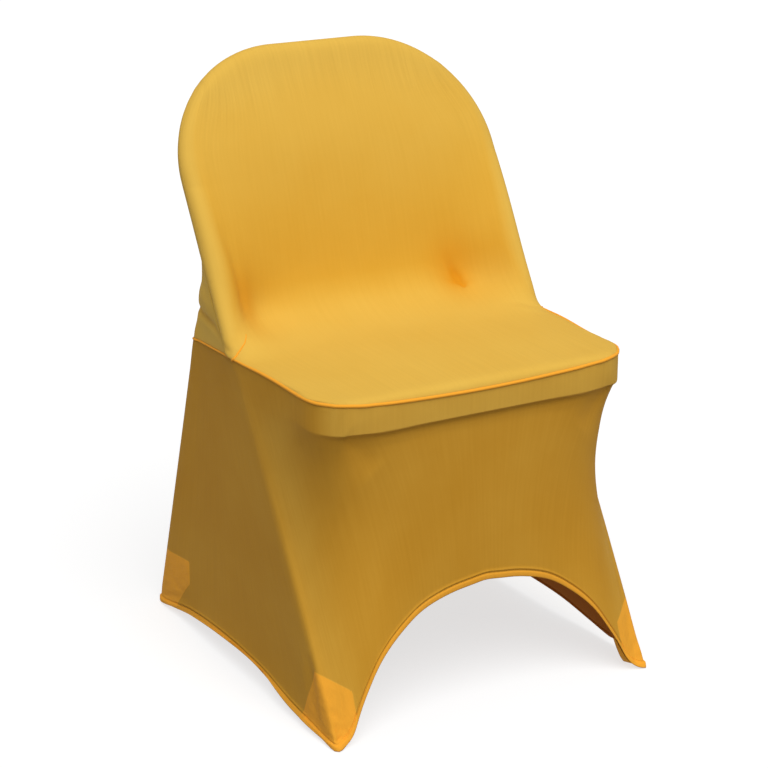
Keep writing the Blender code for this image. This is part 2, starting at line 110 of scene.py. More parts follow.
def along(points, share):
    # the point at this share of the length of a smooth curve through the points
    points = [Vector(point) for point in points]
    lengths = [0.0]
    for before, after in zip(points, points[1:]):
        lengths.append(lengths[-1] + (after - before).length)
    place = min(max(share, 0.0), 1.0) * lengths[-1]
    span = next((i for i in range(len(points) - 2) if place <= lengths[i + 1]), len(points) - 2)
    width = lengths[span + 1] - lengths[span]
    t = (place - lengths[span]) / width

    def tangent(i):
        low, high = max(i - 1, 0), min(i + 1, len(points) - 1)
        return (points[high] - points[low]) / (lengths[high] - lengths[low]) * width

    return (points[span] * (2 * t**3 - 3 * t**2 + 1) + tangent(span) * (t**3 - 2 * t**2 + t)
            + points[span + 1] * (3 * t**2 - 2 * t**3) + tangent(span + 1) * (t**3 - t**2))


def onBack(x, up, out):
    rake = backrest["rake"]
    return Vector((x, backrest["startY"] + rake * up - out / slope, up + out * rake / slope))


def roundCorner(x, y, cornerX, cornerY, radiusX, radiusY):
    # bends the square corner of a flat grid round, so that lines along its edge stay as far from it
    a, b = (x - cornerX) / radiusX, (y - cornerY) / radiusY
    if a <= 0 or b <= 0:
        return x, y
    turn = math.pi / 4 * b / a if a > b else math.pi / 2 - math.pi / 4 * a / b
    return cornerX + radiusX * max(a, b) * math.cos(turn), cornerY + radiusY * max(a, b) * math.sin(turn)


def backOutline(x, up):
    radius = backrest["corner"] / slope
    return roundCorner(x, up, backrest["halfWidth"] - backrest["corner"], backrest["top"] - radius,
                       backrest["corner"], radius)


def edgeInset(profile, steps, ring, face):
    # how far in a grid line is where it crosses a ring of the edge's profile, fanning out to the face
    return blend(profile[ring][0], face, (steps - ring) / (grid["roll"] - ring))


def backRowHeight(row):
    top = backrest["top"] - backrest["profile"][-1][0]
    return blend(top, backrest["bottom"], (row - grid["roll"] + 1) / (grid["back"] + 1))


def frontOnBack(col, row):
    ring = min(across - col, row)
    x, up = (backrest["halfWidth"] - backrest["faceInset"]) * col / grid["face"], backRowHeight(row)
    if col > grid["face"]:
        x = backrest["halfWidth"] - edgeInset(backrest["profile"], across - col, ring, backrest["faceInset"])
    if row < grid["roll"]:
        face = (backrest["top"] - backRowHeight(grid["roll"])) * slope
        up = backrest["top"] - edgeInset(backrest["profile"], row, ring, face) / slope
    x, up = backOutline(x, up)
    if ring < grid["roll"]:
        return onBack(x, up, backrest["tube"] * backrest["profile"][ring][1]), held
    out = backrest["tube"] - backrest["dip"] * (1 - (x / backrest["halfWidth"]) ** 2)
    return onBack(x, up, out), soft if row < crease - backrest["frontHoldEnd"] else free


def frontInDrop(col, row):
    step = row - crease
    up = blend(backrest["bottom"], backrest["tubeLow"], step / grid["drop"])
    share = ease((up - backrest["tubeLow"]) / (backrest["bottom"] - backrest["tubeLow"]))
    half = blend(skirtLines["seamSide"][0] + backrest["profile"][0][0], backrest["halfWidth"], share)
    if col > grid["face"]:
        inset, out = backrest["profile"][across - col]
        if row == lastDrop and col == across:
            return Vector(skirtLines["seamSide"]), held
        return onBack(half - inset, up, backrest["tube"] * out), held
    if (col, step) == backrest["pinchPlace"]:
        return Vector(backrest["pinch"]), held
    if col == grid["face"] and row < lastDrop:
        return onBack(half - 2 * backrest["tube"], up, 0.0), free
    inCrease = step == backrest["pinchPlace"][1] and col < backrest["pinchPlace"][0] - 1
    y, z = backrest["dropLine"][step]
    x = (half - backrest["faceEdge"]) * col / grid["face"]
    return Vector((x, y, z)), soft if inCrease or row == lastDrop else free


def frontOnSeat(col, row):
    step = row - lastDrop
    fromSide, fromFront = across - col, grid["seat"] - step
    nearest = min(fromSide, fromFront)
    startY = backrest["dropLine"][-1][0]
    faceRow = blend(startY, seat["front"], (grid["seat"] - grid["roll"]) / grid["seat"])
    x = (seat["halfWidth"] - seat["faceEdge"]) * col / grid["face"]
    y = blend(startY, seat["front"], step / grid["seat"])
    if fromSide < grid["roll"]:
        x = seat["halfWidth"] - edgeInset(seat["edge"], fromSide, nearest, seat["faceEdge"])
    if fromFront < grid["roll"]:
        y = seat["front"] + edgeInset(seat["edge"], fromFront, nearest, faceRow - seat["front"])
    start, end = seat["flare"]
    x += (skirtLines["seamSide"][0] - seat["halfWidth"]) * ease((y - start) / (end - start)) * col / across
    corner = seat["corner"]
    x, ahead = roundCorner(x, -y, seat["halfWidth"] - corner, -seat["front"] - corner, corner, corner)
    if nearest < grid["roll"]:
        start, end = seat["sideRise"]
        sideSeam = blend(seat["sideSeamZ"], skirtLines["seamSide"][2], ease((-ahead - start) / (end - start)))
        seam = blend(seat["seamZ"], sideSeam, min((x / seat["seamRiseX"]) ** 2, 1.0))
        return Vector((x, -ahead, blend(seam, seat["top"], seat["edge"][nearest][1]))), held
    start, end = seat["crownFront"]
    crown = seat["crown"] * (1 - (x / seat["halfWidth"]) ** 2) * (1 - ease((ahead - start) / (end - start)))
    return Vector((x, -ahead, seat["top"] + crown)), soft


def frontPanel(col, row):
    if row <= crease:
        return frontOnBack(col, row)
    return frontInDrop(col, row) if row <= lastDrop else frontOnSeat(col, row)


def rearEdge(z):
    x, y, top = skirtLines["rearSeam"]
    return Vector((x, y + skirtLines["rearLean"] * (top - z), z))


def rearOfBack(col, row):
    first = backrest["profile"][0][0] + backrest["rearInset"]
    up = backRowHeight(row)
    if row < grid["roll"]:
        up = backrest["top"] - first - backrest["rearInset"] * (row - 1)
    gathered = backrest["rearGather"] * col / rearEdgeCol
    if col > rearEdgeCol:
        gathered = blend(backrest["rearGather"], 1.0, (col - rearEdgeCol) / (grid["web"] - 1))
    share = blend(col / (across - 1), gathered, ease((row - 1) / (grid["back"] + 1)))
    x, up = backOutline((backrest["halfWidth"] - first) * share, up)
    middle = 1 - (x / backrest["halfWidth"]) ** 2
    point = onBack(x, up, -backrest["tube"] - backrest["bulge"] * middle * ease(row / backrest["bulgeRows"]))
    onFace = row < crease - backrest["rearHoldEnd"]
    if row == 1 or (onFace and col == across - 1) or (not onFace and col == rearEdgeCol):
        return point, held
    return point, soft if onFace else free


def backPanel(col, row):
    if col == across or row == 0:
        return frontPanel(col, row)[0], held
    if row < crease:
        return rearOfBack(col, row)
    share = (row - crease) / grid["drop"]
    startY, startZ = backrest["rearStart"]
    corner = rearEdge(blend(startZ, skirtLines["rearSeam"][2], share))
    corner.y = max(corner.y, onBack(corner.x, corner.z, -backrest["tube"]).y)
    if col > rearEdgeCol:
        point = blend(corner, frontPanel(across, row)[0], (col - rearEdgeCol) / grid["web"])
    else:
        part = col / rearEdgeCol
        middleY = blend(startY, skirtLines["rearMiddle"][0], share)
        point = Vector((corner.x * part, blend(middleY, corner.y, part), corner.z))
        if row == lastDrop:
            point.z = blend(skirtLines["rearMiddle"][1], corner.z, part * part)
    return point, held if row == lastDrop or col == rearEdgeCol else free


def seamRing(step):
    if step <= across:
        return frontPanel(step, lastSeat)[0]
    if step <= ridgeCol:
        return frontPanel(across, lastSeat + across - step)[0]
    return backPanel(across + ridgeCol - step, lastDrop)[0]


def hemRing(step):
    if step <= ridgeCol:
        return along(skirtLines["hem"], step / ridgeCol)
    if step <= edgeCol:
        return along(skirtLines["sideHem"], (step - ridgeCol) / grid["web"])
    return along(skirtLines["rearHem"], (step - edgeCol) / rearEdgeCol)


def legRidge(z):
    widest, lean = skirtLines["legLean"]
    side = skirtLines["seamSide"]
    x = blend(side[0], skirtLines["footX"], ease((side[2] - z) / skirtLines["legSpread"]))
    return Vector((x, backrest["startY"] + backrest["rake"] * z + lean * (widest - x), z))


def skirtPanel(col, row):
    top, low = seamRing(col), hemRing(col)
    if row in (0, grid["skirt"]):
        return low if row else top, held
    share = skirtLines["rows"][row]
    if col == ridgeCol:
        end = skirtLines["ridgeEnd"]
        return blend(legRidge(top.z * (1 - share)), low, ease((share - end) / (1 - end))), held
    if col == edgeCol:
        end = skirtLines["rearRidgeEnd"]
        point = rearEdge(top.z * (1 - share))
        point.x = blend(top.x, low.x, share)
        return blend(point, low, ease((share - end) / (1 - end))), held
    if col < skirtLines["bandCols"] and row <= len(skirtLines["band"]):
        down, tuck = skirtLines["band"][row - 1]
        start, end = skirtLines["bandFade"]
        tuck *= 1 - ease((col - start) / (end - start))
        bandLow = blend(*skirtLines["bandLow"], ease((col - across) / grid["seat"]))
        x = -top.x if col > grid["face"] + 1 else 0.0
        point = top + Vector((x, skirtLines["tuckY"] - top.y, 0.0)).normalized() * tuck
        point.z = blend(top.z, bandLow, down)
        return point, held
    return blend(top, low, share), free


def gridPoints(shape, columns, rows):
    # a new flat grid's points, each with its column from the left and its row from the top
    for vert in bmesh.ops.create_grid(shape, x_segments=columns, y_segments=rows, size=0.5)["verts"]:
        yield vert, round((vert.co.x + 0.5) * columns), round((0.5 - vert.co.y) * rows)


def layGrid(shape, columns, rows, place):
    hold = shape.verts.layers.int["hold"]
    for vert, col, row in gridPoints(shape, columns, rows):
        vert.co, vert[hold] = place(col, row)


def drawTight(shape, mostHeld, rounds):
    hold = shape.verts.layers.int["hold"]
    pulled = [vert for vert in shape.verts if vert[hold] <= mostHeld]
    ways = {"use_axis_x": True, "use_axis_y": True, "use_axis_z": True}
    for _ in range(rounds):
        bmesh.ops.smooth_vert(shape, verts=pulled, factor=0.5, **ways)


panels = {  # columns, rows and place of each half panel
    "front_panel": (across, lastSeat, frontPanel),
    "back_panel": (across, lastDrop, backPanel),
    "skirt": (ringCols, grid["skirt"], skirtPanel),
}


def pulledNets():
    # the coarse cloth, pulled tight, as one net of points for each panel, left half and right half
    shape = bmesh.new()
    shape.verts.layers.int.new("hold")
    for columns, rows, place in panels.values():
        layGrid(shape, columns, rows, place)
    bmesh.ops.remove_doubles(shape, verts=shape.verts, dist=cloth["weld"])
    for vert in shape.verts:
        if abs(vert.co.x) < cloth["onMiddle"]:
            vert.co.x = 0.0
    geom = shape.verts[:] + shape.edges[:] + shape.faces[:]
    bmesh.ops.mirror(shape, geom=geom, axis="X", merge_dist=cloth["weld"])
    shape.verts.ensure_lookup_table()
    finder = KDTree(len(shape.verts))
    for vert in shape.verts:
        finder.insert(vert.co, vert.index)
    finder.balance()
    places = {}
    for name, (columns, rows, place) in panels.items():
        places[name] = [[finder.find(place(col, row)[0])[1] for col in range(columns + 1)]
                        for row in range(rows + 1)]
    drawTight(shape, free, cloth["tightRounds"])
    drawTight(shape, soft, cloth["softRounds"])
    nets = {}
    for name, rows in places.items():
        half = np.array([[shape.verts[index].co[:] for index in row] for row in rows])
        nets[name] = np.concatenate([half[:, :0:-1] * (-1, 1, 1), half], axis=1) - np.array(cloth["hanging"])
    shape.free()
    return nets


# The fine cloth. A place on a panel is a column from its middle, to the right, and a row from its top, as in
# its net.

foldForm = {"ridge": 0.3, "ridgeAt": 1.9, "ridgeWidth": 1.1, "fadeFrom": 0.05, "bluntness": 0.7}
allAcross = math.inf  # a spot's reach in columns where it runs from side to side
smoothWays = (0.50, -0.53)  # how far each round of smoothing along a row goes, in and out
sides = ((-1, "left"), (1, "right"))


def smoothLine(values, places, straight=0):
    # a smooth curve through the values along the first axis, numbered from 0, straight between the first ones
    first = np.clip(places.astype(int), 0, len(values) - 2)
    t = (places - first).reshape((-1,) + (1,) * (values.ndim - 1))
    ends = 2 * values[:1] - values[1:2], 2 * values[-1:] - values[-2:-1]
    a, b, c, d = (np.concatenate([ends[0], values, ends[1]])[first + i] for i in range(4))
    curved = b + 0.5 * t * (c - a + t * (2 * a - 5 * b + 4 * c - d + t * (3 * (b - c) + d - a)))
    return np.where(places.reshape(t.shape) < straight, b + (c - b) * t, curved)


def clothMarks(net, axis):
    # mean distance along the cloth of each of the net's lines from its first one
    steps = np.linalg.norm(np.diff(net, axis=axis), axis=2).mean(axis=1 - axis)
    return np.concatenate([[0.0], np.cumsum(steps)])


def finePanel(net, pitch, rowPitch, straight=0):
    # points [row, column] about a pitch apart, and each one's place in the net and distance along the cloth
    places, distances, marks = [], [], []
    for axis, step in ((1, pitch), (0, rowPitch)):
        mark = clothMarks(net, axis)
        distance = np.linspace(0, mark[-1], round(mark[-1] / step) + 1)
        places.append(np.interp(distance, mark, np.arange(len(mark))))
        distances.append(distance)
        marks.append(mark)
    points = smoothLine(smoothLine(net, places[1], straight).swapaxes(0, 1), places[0]).swapaxes(0, 1)
    middle, half = marks[0][-1] / 2, (net.shape[1] - 1) / 2
    u, v = np.meshgrid(distances[0] - middle, distances[1])
    col, row = np.meshgrid(places[0] - half, places[1])
    colMarks = np.stack([np.arange(len(marks[0])) - half, marks[0] - middle])
    return {"points": points, "u": u, "v": v, "col": col, "row": row, "colMarks": colMarks,
            "rowMarks": marks[1], "closed": np.allclose(points[:, 0], points[:, -1])}


def softStep(values, start, end):
    share = np.clip((values - start) / (end - start), 0, 1)
    return share * share * (3 - 2 * share)


def peak(values, centre, width):
    return np.exp(-((values - centre) / width) ** 2)


def spots(col, row, table):
    # soft round spots, each a strength, a column with its reach, and a row with its reach
    return sum(strength * peak(col, atCol, colReach) * peak(row, atRow, rowReach)
               for strength, atCol, colReach, atRow, rowReach in table)


def wrapped(panel):
    # the panel's points with one more column at each end, from its other end where it is closed
    points = panel["points"]
    before, after = (points[:, -2:-1], points[:, 1:2]) if panel["closed"] else (
        2 * points[:, :1] - points[:, 1:2], 2 * points[:, -1:] - points[:, -2:-1])
    return np.concatenate([before, points, after], axis=1)


def soften(panel, weight, rounds):
    # averages each point with its neighbours, as far as its weight says
    share = weight[1:-1, :, None]
    for _ in range(rounds):
        points = wrapped(panel)
        around = points[1:-1, :-2] + points[1:-1, 2:] + points[:-2, 1:-1] + points[2:, 1:-1]
        panel["points"][1:-1] += share * (around / 4 - panel["points"][1:-1])


def softenAlong(panel, weight, rounds):
    # averages each point with those along its row, in and out by turns so that a corner keeps its place
    for turn in range(rounds):
        points = wrapped(panel)
        around = (points[:, :-2] + points[:, 2:]) / 2
        panel["points"] += smoothWays[turn % 2] * weight[..., None] * (around - panel["points"])


def insideRims(panel, form, lastRow):
    # from 0 near the panel's sewn edges, which keep their place, to 1 well inside them
    fromSide, row = across - np.abs(panel["col"]), panel["row"]
    return (softStep(fromSide, *form["sideRim"]) * softStep(row, *form["topRim"])
            * softStep(lastRow - row, *form["lowRim"]))


def raiseBy(panel, relief, inwards=False):
    points = wrapped(panel)
    normals = np.cross(np.gradient(points, axis=1), -np.gradient(points, axis=0))[:, 1:-1]
    normals /= np.linalg.norm(normals, axis=2, keepdims=True) * (-1 if inwards else 1)
    panel["points"] = panel["points"] + normals * relief[..., None]


def nearPath(panel, path):
    # distance along the cloth from a broken line of places, and the share of the way along it
    cols, rows = np.array(path, float).T
    marks = panel["rowMarks"]
    lineU, lineV = np.interp(cols, *panel["colMarks"]), np.interp(rows, np.arange(len(marks)), marks)
    line = np.stack([lineU, lineV], axis=1)
    lengths = np.linalg.norm(np.diff(line, axis=0), axis=1)
    best, share, done = np.full(panel["u"].shape, math.inf), np.zeros(panel["u"].shape), 0.0
    for start, end, length in zip(line, line[1:], lengths):
        way = (end - start) / length
        fromU, fromV = panel["u"] - start[0], panel["v"] - start[1]
        reach = np.clip(fromU * way[0] + fromV * way[1], 0, length)
        distance = np.hypot(fromU - reach * way[0], fromV - reach * way[1])
        share = np.where(distance < best, (done + reach) / lengths.sum(), share)
        best = np.minimum(best, distance)
        done += length
    return best, share


def foldRelief(panel, table):
    # troughs with a low ridge on each side, where the deepest one counts, and wide swells that add up
    form = foldForm
    lowest, highest, swelling = (np.zeros(panel["u"].shape) for _ in range(3))
    for path, width, depth, kind in table:
        distance, share = nearPath(panel, path)
        strength = np.sin(np.pi * share) ** form["bluntness"]
        if kind == "from start":
            strength = 1 - softStep(share, form["fadeFrom"], 1.0)
        trough = depth * peak(distance, 0.0, width) * strength
        if kind == "swell":
            swelling += trough
            continue
        ridge = peak(distance, form["ridgeAt"] * width, form["ridgeWidth"] * width)
        lowest = np.minimum(lowest, -trough)
        highest = np.maximum(highest, form["ridge"] * depth * strength * ridge)
    return lowest + highest + swelling, -lowest


# Each fold has a path of (column, row), a width, a depth or height in metres, and how it runs.
frontForm = {
    "pitch": 0.0034, "sideRim": (1.0, 3.2), "topRim": (1.0, 3.2), "lowRim": (0.6, 3.0), "rounds": 14,
    "caught": ((1.0, 7.1, 2.6, 17.8, 2.2),), "caughtRounds": 90,
    "folds": (
        (((6.3, 18.1), (6.05, 17.5), (5.75, 16.7), (5.5, 15.6)), 0.0048, 0.0034, "from start"),
        (((6.3, 18.1), (5.6, 17.9), (4.8, 17.75)), 0.0040, 0.0013, "from start"),
        (((6.3, 18.1), (6.8, 18.15), (7.6, 18.2)), 0.0040, 0.0014, "from start"),
        (((6.4, 18.25), (6.2, 17.8)), 0.0032, 0.0050, "from start"),
        (((7.9, 19.7), (9.2, 20.2), (10.6, 20.6), (12.0, 21.2)), 0.0070, 0.0014, "both"),
        (((-8.5, 17.9), (-8.1, 18.15), (-7.2, 18.3), (-6.2, 18.4)), 0.0045, 0.0012, "from start"),
        (((-9.1, 13.6), (-8.6, 15.2), (-8.3, 16.8), (-8.3, 18.0), (-8.6, 18.7)), 0.0075, 0.0018, "both"),
        (((-10.4, 11.5), (-9.8, 14.0), (-9.5, 16.0), (-9.4, 17.6), (-9.3, 19.0)), 0.0170, 0.0046, "swell"),
        (((10.4, 11.5), (9.9, 14.0), (9.6, 16.0), (9.6, 17.6), (9.7, 18.8)), 0.0170, 0.0024, "swell"),
        (((-9.6, 19.9), (-10.4, 20.1), (-11.3, 20.4)), 0.0030, 0.0008, "both"),
        (((-13.0, 19.2), (-12.4, 19.35), (-11.6, 19.7), (-11.0, 20.0)), 0.0040, 0.0014, "both"),
    ),
    # how pale the cloth is by row, and on the rolls along the backrest's sides: paler where it is stretched,
    # and painted light on the lit backrest top, rolls and seat, with painted shade towards the crease
    "pale": ((0, 0.9), (4, 0.85), (6, 0.65), (10, 0.50), (13, 0.30), (16.5, 0.12), (18.3, 0.6), (20, 0.85),
             (28, 0.85)),
    "rollPaleAndLit": 0.85, "rollCols": (8.6, 10.2), "rollRows": (19.0, 20.5),
    # spots of painted shade in deeper orange: drawn in beside the pinch marks, and for each metre of depth in
    # the right one
    "drawn": ((0.64, 5.9, 1.3, 17.0, 1.6), (0.60, -8.0, 0.8, 17.3, 1.5), (0.48, 6.15, 0.7, 17.85, 0.6)),
    "pinch": ((200, 6.3, 0.9, 18.1, 0.9),),
    "ripple": ((1.0, 0.0, allAcross, 4.6, 2.2), (0.8, 9.6, 1.6, 6.5, 4.0), (0.35, 0.0, allAcross, 24.5, 2.5)),
}


def makeFront():
    form = frontForm
    panel = finePanel(nets["front_panel"], form["pitch"], form["pitch"])
    col, row, side = panel["col"], panel["row"], np.abs(panel["col"])
    soften(panel, insideRims(panel, form, lastSeat), form["rounds"])
    soften(panel, spots(side, row, form["caught"]), form["caughtRounds"])
    relief, deep = foldRelief(panel, form["folds"])
    raiseBy(panel, relief)
    roll = softStep(side, *form["rollCols"]) * (1 - softStep(row, *form["rollRows"]))
    # painted shade: deeper orange in the pinch hollows and where the cloth is drawn in beside them
    warmToneAndShade = spots(col, row, form["drawn"]) + deep * spots(col, row, form["pinch"])
    panel["layers"] = {
        # paler where stretched, and painted light on the lit faces and rolls
        "pale": np.maximum(np.interp(row, *zip(*form["pale"])), form["rollPaleAndLit"] * roll),
        "warmToneAndShade": np.clip(warmToneAndShade, 0, 1), "ripple": spots(side, row, form["ripple"]),
    }
    return panel


backForm = {
    "pitch": 0.0042, "rowPitch": 0.0040, "sideRim": (0.6, 2.5), "topRim": (0.6, 2.5), "lowRim": (0.4, 2.0),
    "rounds": 6,
    "folds": (
        (((-7.6, 17.6), (-8.8, 18.1), (-10.4, 18.35), (-11.8, 18.6), (-13.0, 19.2)), 0.0055, 0.0030, "both"),
        (((-8.6, 16.6), (-10.4, 17.2), (-12.6, 17.7)), 0.0180, 0.0055, "swell"),
        (((7.6, 17.4), (8.9, 18.0), (10.6, 18.5), (12.0, 18.9)), 0.0060, 0.0026, "both"),
        (((9.2, 16.6), (10.6, 17.2), (12.2, 17.8)), 0.0170, 0.0034, "swell"),
        (((-7.2, 12.0), (-7.8, 14.2), (-8.0, 16.6)), 0.0100, 0.0022, "both"),
        (((7.4, 11.6), (7.9, 14.0), (8.0, 16.4)), 0.0100, 0.0022, "both"),
        (((-3.6, 20.0), (-3.2, 17.6), (-2.6, 14.6)), 0.0110, 0.0012, "from start"),
        (((3.1, 20.0), (2.9, 17.8), (2.3, 15.2)), 0.0110, 0.0011, "from start"),
    ),
    # paler high on the back and on the web: stretched cloth and painted light, with painted shade lower down
    # the back
    "pale": (0.70, 0.25), "paleRows": (3, 9), "webPaleAndLit": 0.95, "webCols": (-0.5, 1.0),
    # painted shade: deeper orange in the folds' troughs, by their depth, up to a most
    "shadePerFoldDepth": 90, "mostFoldShade": 0.5, "ripple": (3.5, 2.2),
}


def makeBack():
    form = backForm
    panel = finePanel(nets["back_panel"], form["pitch"], form["rowPitch"])
    row, side = panel["row"], np.abs(panel["col"])
    soften(panel, insideRims(panel, form, lastDrop), form["rounds"])
    relief, deep = foldRelief(panel, form["folds"])
    raiseBy(panel, relief, inwards=True)
    # stretched cloth and painted light: paler high on the back and on the web
    pale = blend(*form["pale"], softStep(row, *form["paleRows"]))
    web = softStep(side - rearEdgeCol, *form["webCols"])
    panel["layers"] = {
        "pale": np.maximum(pale, form["webPaleAndLit"] * web),
        "warmToneAndShade": np.clip(deep * form["shadePerFoldDepth"], 0, form["mostFoldShade"]), "ripple": peak(row, *form["ripple"]),
    }
    return panel


# Where each foot pocket shows through the skirt as a brighter patch: its top on the skirt's corner line, its
# reach across the front or rear and its top there, its top along the side, and its reach there by height.
patchForm = {
    "outside": -0.03,
    "feet": (
        {"edgeCol": ridgeCol, "ahead": -1, "top": 0.0905, "cross": 0.036, "crossTop": 0.068,
         "sideTop": 0.0905, "side": ((0.010, 0.084), (0.090, 0.0))},
        {"edgeCol": edgeCol, "ahead": 1, "top": 0.092, "cross": 0.040, "crossTop": 0.078,
         "sideTop": 0.102, "side": ((0.010, 0.060), (0.028, 0.068), (0.066, 0.096), (0.105, 0.082))},
    ),
}


def patchField(panel):
    # how far inside the nearest patch each point lies, in metres, and below zero outside
    points, col = panel["points"] + np.array(cloth["hanging"]), panel["col"]
    height, outside = points[..., 2], patchForm["outside"]
    field = np.full(col.shape, outside)
    for form in patchForm["feet"]:
        levels, reaches = zip(*form["side"])
        for side in (-1, 1):
            leg = points[:, np.argmin(np.abs(col[0] - side * form["edgeCol"]))][:, None]
            onSide = (side * col - form["edgeCol"]) * form["ahead"] < 0
            crossed = np.abs(leg[..., 0]) - np.abs(points[..., 0])
            behind = (leg[..., 1] - points[..., 1]) * form["ahead"]
            way = np.where(onSide, behind, -crossed)
            sideTop = blend(form["top"], form["sideTop"], np.clip(way / max(reaches), 0, 1))
            crossTop = blend(form["top"], form["crossTop"], np.clip(-way / form["cross"], 0, 1))
            fromEnds = np.minimum(np.interp(height, levels, reaches) - way, form["cross"] + way)
            inside = np.minimum(np.where(onSide, sideTop, crossTop) - height, fromEnds)
            field = np.maximum(field, np.where(side * col > 0, inside, outside))
    return field


# The skirt's lower edge, by distance from it.
hemForm = {
    "rows": (0.0, 0.0012, 0.0028, 0.0046, 0.0062, 0.0074, 0.0082, 0.0090, 0.0098, 0.0106, 0.0114, 0.0122,
             0.0132, 0.0150),
    "thick": 0.0013, "edge": 0.0018, "band": 0.0070, "groove": 0.0087, "grooveDepth": 0.0010, "line": 0.0014,
    "ridge": 0.0112, "ridgeHeight": 0.0013, "ridgeLeft": 0.25, "ridgeFade": (-0.001, 0.006),
    "lip": 0.0018, "lipEdge": (0.0050, 0.0120), "lipFade": (0.0, 0.014),
}
skirtForm = {
    "pitch": 0.0050, "rowPitch": 0.0046, "steps": 0.0010, "straightRows": 3.0, "meet": 0.00002,
    "bandRows": (0.0, 0.2, 0.5, 0.8, 1.1, 1.4, 1.7, 1.88, 1.96, 2.04, 2.2, 2.5, 2.8, 3.0, 3.12, 3.3, 3.6,
                 4.0),
    "legReach": 0.9, "legHold": 0.75, "bandEnds": (13.5, 16.0), "topRim": (0.8, 2.2), "bandRim": (2.7, 4.0),
    "hemRim": (0.015, 0.05), "rounds": 12,
    "alongTop": (0.0, 0.2), "alongLow": (3.5, 5.0), "alongEnds": (17.0, 19.0), "alongHem": (0.03, 0.07),
    "alongRounds": 160,
    "folds": (
        (((-9.8, 3.6), (-9.0, 4.6), (-8.3, 6.4)), 0.0230, 0.0045, "both"),
        (((9.8, 3.6), (9.0, 4.6), (8.3, 6.4)), 0.0230, 0.0045, "both"),
        (((-21.4, 14.2), (-21.4, 13.0), (-21.3, 11.6), (-21.1, 9.6)), 0.0080, 0.0024, "both"),
        (((-20.7, 12.0), (-20.0, 12.5), (-19.2, 13.4)), 0.0035, 0.0016, "both"),
        (((-20.9, 13.0), (-20.1, 13.4), (-19.3, 14.2)), 0.0032, 0.0018, "both"),
        (((-20.9, 14.0), (-20.2, 14.1), (-19.6, 14.4)), 0.0028, 0.0018, "both"),
        (((-18.6, 11.2), (-18.9, 12.4), (-19.1, 13.6)), 0.0030, 0.0009, "both"),
        (((20.6, 12.6), (20.1, 13.2), (19.3, 13.9)), 0.0035, 0.0009, "both"),
        (((21.3, 10.8), (21.6, 12.4), (21.6, 14.4)), 0.0050, 0.0014, "both"),
        (((-25.9, 14.2), (-25.5, 13.7), (-25.0, 13.5)), 0.0035, 0.0012, "both"),
        (((-25.6, 12.0), (-25.4, 12.7), (-25.1, 13.4)), 0.0035, 0.0009, "both"),
        (((25.9, 14.2), (25.5, 13.6), (25.0, 13.2)), 0.0035, 0.0012, "both"),
    ),
    # paler where stretched and painted light: a little all over, more beside the front legs' ridges and on
    # the band under the seat's front
    "pale": 0.10, "cornerPaleAndLit": 0.22, "cornerCols": (-2.2, 2.6), "cornerRows": (1.0, 4.0),
    "bandPaleAndLit": 0.52, "bandEdge": (1.96, 2.12), "bandPaleEnds": (12.6, 15.0),
    # painted shade: deeper orange in the folds' troughs, by their depth, up to a most
    "shadePerFoldDepth": 20, "mostFoldShade": 0.5, "ripple": 0.2,
}


def fineSkirt(net):
    # as finePanel, with its first rows at the band's own places and its last at the hem's distances
    form = skirtForm
    panel = finePanel(net, form["pitch"], form["steps"], form["straightRows"])
    points = panel["points"]
    lengths = np.linalg.norm(np.diff(points, axis=0), axis=2)
    fromHem = np.concatenate([np.zeros((1, points.shape[1])), np.cumsum(lengths[::-1], axis=0)])
    hemRows, length = np.array(hemForm["rows"]), panel["rowMarks"][-1]
    bandPlace = np.interp(form["bandRows"], panel["row"][:, 0], np.arange(len(points)))
    bandAt = fromHem[::-1][np.round(bandPlace).astype(int)]
    rest = np.linspace(0, 1, round(length / form["rowPitch"]) + 1)[1:-1, None]
    distance = np.concatenate([np.repeat(hemRows[:, None], points.shape[1], axis=1),
                               hemRows[-1] + rest * (bandAt[-1] - hemRows[-1]), bandAt[::-1]])[::-1]
    made = {key: np.empty(distance.shape) for key in ("x", "y", "z", "row")}
    for col in range(points.shape[1]):
        sources = *points[::-1, col].T, panel["row"][::-1, col]
        for values, source in zip(made.values(), sources):
            values[:, col] = np.interp(distance[:, col], fromHem[:, col], source)
    rows = len(distance)
    panel.update(points=np.stack([made["x"], made["y"], made["z"]], axis=2), row=made["row"], hem=distance,
                 v=length - distance, u=np.repeat(panel["u"][:1], rows, axis=0),
                 col=np.repeat(panel["col"][:1], rows, axis=0))
    return panel


def hemRelief(hem, patch):
    # a thick band, a stitched groove, a ridge that fades on the patches, and each pocket's lip
    form = hemForm
    band = softStep(hem, -form["edge"], form["edge"]) * (1 - softStep(hem, form["band"], form["groove"]))
    groove = peak(hem, form["groove"], form["line"])
    onPatch = softStep(patch, *form["ridgeFade"])
    ridge = peak(hem, form["ridge"], form["line"]) * blend(1, form["ridgeLeft"], onPatch)
    lip = (1 - softStep(hem, *form["lipEdge"])) * softStep(patch, *form["lipFade"])
    raised = form["thick"] * band + form["ridgeHeight"] * ridge + form["lip"] * lip
    return raised - form["grooveDepth"] * groove


